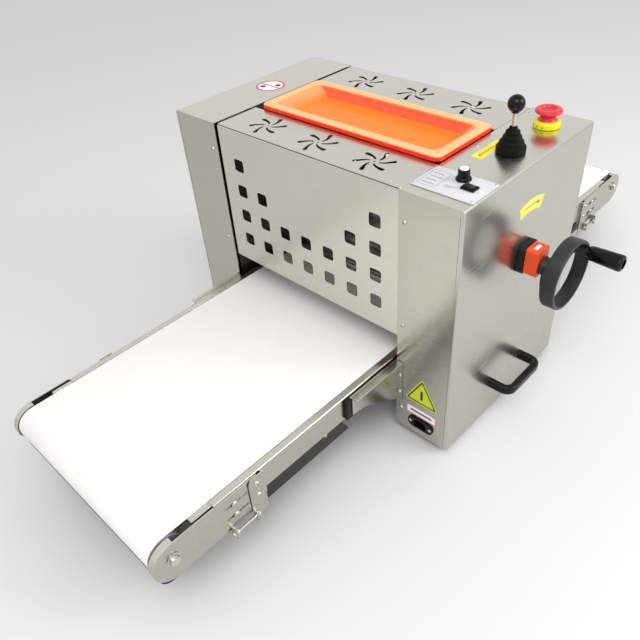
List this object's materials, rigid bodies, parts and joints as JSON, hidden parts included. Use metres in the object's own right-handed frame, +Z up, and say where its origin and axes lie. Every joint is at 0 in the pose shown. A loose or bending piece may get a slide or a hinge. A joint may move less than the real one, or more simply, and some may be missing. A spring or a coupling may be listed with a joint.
{
  "type": "bench dough sheeter",
  "caption": "Bench dough sheeter with belt tables either side of a guarded pair of rolls, a flour tray, handwheel gap adjustment and top controls.",
  "frame": {"origin": "centre of the machine's overall footprint on the plane the feet stand on", "axes": "+Z up; +Y along the belt tables, from the side with the control plate and the power inlet to the other; +X towards the handwheel"},
  "size_m": [0.734, 1.318, 0.5476],
  "materials": {
    "stainless": "light warm stainless sheet with a fine directional brushed grain",
    "ground_steel": "smooth ground or turned steel",
    "dark_steel": "dark satin paint",
    "black_plastic": "black moulded plastic, semi-gloss",
    "grey_composite": "dark grey glass-filled plastic, matt",
    "rubber": "matt black rubber",
    "white_belt": "food-grade white coated belt, fine weave, satin",
    "orange_plastic": "orange moulded tray, satin",
    "counter_orange": "orange-red moulded housing",
    "red_plastic": "red moulded plastic",
    "yellow_plastic": "yellow moulded plastic",
    "panel": "pale printed overlay on a thin plate"
  },
  "bodies": {
    "machine": {"base_tie": "stainless", "control_plate": "panel", "drive_chain": "dark_steel", "emergency_stop_collar": "yellow_plastic", "front_belt": "white_belt", "front_bracket_left": "stainless", "front_bracket_right": "stainless", "front_left_foot": "rubber", "front_right_foot": "rubber", "front_slide_block_left": "black_plastic", "front_slide_block_right": "black_plastic", "front_table_frame": "stainless", "front_under_tray": "dark_steel", "gear_motor": "dark_steel", "indicator_collar": "black_plastic", "joystick_boot": "rubber", "left_cabinet": "stainless", "left_frame": "stainless", "position_indicator": "counter_orange", "power_inlet": "black_plastic", "rear_belt": "white_belt", "rear_bracket_left": "stainless", "rear_bracket_right": "stainless", "rear_left_foot": "rubber", "rear_right_foot": "rubber", "rear_slide_block_left": "black_plastic", "rear_slide_block_right": "black_plastic", "rear_table_frame": "stainless", "rear_under_tray": "dark_steel", "right_cabinet": "stainless", "right_frame": "stainless", "rocker_bezel": "black_plastic", "side_handle": "black_plastic"},
    "front_guard": {"front_guard": "stainless"},
    "rear_guard": {"rear_guard": "stainless"},
    "flour_tray": {"flour_tray": "orange_plastic"},
    "handwheel": {"handwheel": "grey_composite", "adjusting_shaft": "ground_steel"},
    "wheel_grip": {"wheel_grip": "black_plastic"},
    "right_lift_screw": {"right_lift_screw": "ground_steel"},
    "left_lift_screw": {"left_lift_screw": "ground_steel"},
    "carriage": {"right_carriage_block": "grey_composite", "left_carriage_block": "grey_composite", "front_upper_scraper": "ground_steel", "rear_upper_scraper": "ground_steel"},
    "upper_roll": {"upper_roll": "ground_steel"},
    "lower_roll": {"lower_roll": "ground_steel"},
    "front_drive_drum": {"front_drive_drum": "grey_composite"},
    "rear_drive_drum": {"rear_drive_drum": "grey_composite"},
    "front_tension": {"front_end_plate_left": "stainless", "front_end_plate_right": "stainless"},
    "rear_tension": {"rear_end_plate_left": "stainless", "rear_end_plate_right": "stainless"},
    "front_end_roller": {"front_end_roller": "grey_composite"},
    "rear_end_roller": {"rear_end_roller": "grey_composite"},
    "joystick_lever": {"joystick_lever": "black_plastic"},
    "speed_knob": {"speed_knob": "black_plastic"},
    "rocker_switch": {"rocker_switch": "black_plastic"},
    "emergency_stop_stem": {"emergency_stop_stem": "red_plastic"},
    "emergency_stop_head": {"emergency_stop_head": "red_plastic"}
  },
  "joints": [
    {"name": "front_guard_hinge", "type": "hinge", "parent": "machine", "child": "front_guard", "pos_m": [-0.063, -0.089, 0.4593], "axis": [-1, 0, 0], "range_deg": [0, 75]},
    {"name": "rear_guard_hinge", "type": "hinge", "parent": "machine", "child": "rear_guard", "pos_m": [-0.063, 0.0675, 0.4593], "axis": [1, 0, 0], "range_deg": [0, 75]},
    {"name": "tray_lift", "type": "slide", "parent": "machine", "child": "flour_tray", "axis": [0, 0, 1], "range_m": [0, 0.06]},
    {"name": "handwheel_turn", "type": "hinge", "parent": "machine", "child": "handwheel", "pos_m": [0.293, 0.004, 0.306], "axis": [1, 0, 0], "range_deg": [0, 1080]},
    {"name": "carriage_lift", "type": "slide", "parent": "machine", "child": "carriage", "axis": [0, 0, 1], "range_m": [0, 0.012]},
    {"name": "right_lift_screw_turn", "type": "hinge", "parent": "machine", "child": "right_lift_screw", "pos_m": [0.1498, 0.004, 0.276], "axis": [0, 0, 1], "range_deg": [0, 1080]},
    {"name": "left_lift_screw_turn", "type": "hinge", "parent": "machine", "child": "left_lift_screw", "pos_m": [-0.2813, 0.004, 0.276], "axis": [0, 0, 1], "range_deg": [-1080, 0]},
    {"name": "grip_spin", "type": "hinge", "parent": "handwheel", "child": "wheel_grip", "pos_m": [0.333, 0.04705, 0.32607], "axis": [1, 0, 0], "continuous": true},
    {"name": "lower_roll_turn", "type": "hinge", "parent": "machine", "child": "lower_roll", "pos_m": [-0.063, 0, 0.134], "axis": [1, 0, 0], "continuous": true},
    {"name": "upper_roll_turn", "type": "hinge", "parent": "carriage", "child": "upper_roll", "pos_m": [-0.063, 0, 0.193], "axis": [1, 0, 0], "continuous": true},
    {"name": "front_drive_drum_turn", "type": "hinge", "parent": "machine", "child": "front_drive_drum", "pos_m": [-0.063, -0.062, 0.134], "axis": [1, 0, 0], "continuous": true},
    {"name": "rear_drive_drum_turn", "type": "hinge", "parent": "machine", "child": "rear_drive_drum", "pos_m": [-0.063, 0.062, 0.134], "axis": [1, 0, 0], "continuous": true},
    {"name": "front_tension_slide", "type": "slide", "parent": "machine", "child": "front_tension", "axis": [0, 1, 0], "range_m": [0, 0.006]},
    {"name": "rear_tension_slide", "type": "slide", "parent": "machine", "child": "rear_tension", "axis": [0, -1, 0], "range_m": [0, 0.006]},
    {"name": "front_end_roller_turn", "type": "hinge", "parent": "front_tension", "child": "front_end_roller", "pos_m": [-0.063, -0.6275, 0.134], "axis": [1, 0, 0], "continuous": true},
    {"name": "rear_end_roller_turn", "type": "hinge", "parent": "rear_tension", "child": "rear_end_roller", "pos_m": [-0.063, 0.6275, 0.134], "axis": [1, 0, 0], "continuous": true},
    {"name": "joystick_tilt", "type": "hinge", "parent": "machine", "child": "joystick_lever", "pos_m": [0.187, 0.01, 0.469], "axis": [1, 0, 0], "range_deg": [-15, 15], "stiffness_Nm_per_rad": 0.6, "deforming": ["joystick_boot"]},
    {"name": "speed_knob_turn", "type": "hinge", "parent": "machine", "child": "speed_knob", "pos_m": [0.1845, -0.1045, 0.469], "axis": [0, 0, 1], "range_deg": [-140, 140]},
    {"name": "rocker_tip", "type": "hinge", "parent": "machine", "child": "rocker_switch", "pos_m": [0.2055, -0.1215, 0.4705], "axis": [0, 1, 0], "range_deg": [-10, 0]},
    {"name": "emergency_stop_press", "type": "slide", "parent": "machine", "child": "emergency_stop_stem", "axis": [0, 0, -1], "range_m": [0, 0.004], "stiffness_N_per_m": 600, "springref_m": -0.002},
    {"name": "emergency_stop_twist", "type": "hinge", "parent": "emergency_stop_stem", "child": "emergency_stop_head", "pos_m": [0.1842, 0.118, 0.486], "axis": [0, 0, 1], "range_deg": [0, 35], "stiffness_Nm_per_rad": 0.05}
  ],
  "couplings": [
    {"joint": "handwheel_turn", "follows": "carriage_lift", "rad_per_m": 1570.8},
    {"joint": "right_lift_screw_turn", "follows": "carriage_lift", "rad_per_m": 1570.8},
    {"joint": "left_lift_screw_turn", "follows": "carriage_lift", "rad_per_m": -1570.8},
    {"joint": "upper_roll_turn", "follows": "lower_roll_turn", "ratio": -1},
    {"joint": "front_drive_drum_turn", "follows": "lower_roll_turn", "ratio": 1},
    {"joint": "rear_drive_drum_turn", "follows": "lower_roll_turn", "ratio": 1},
    {"joint": "front_end_roller_turn", "follows": "lower_roll_turn", "ratio": 1},
    {"joint": "rear_end_roller_turn", "follows": "lower_roll_turn", "ratio": 1}
  ]
}
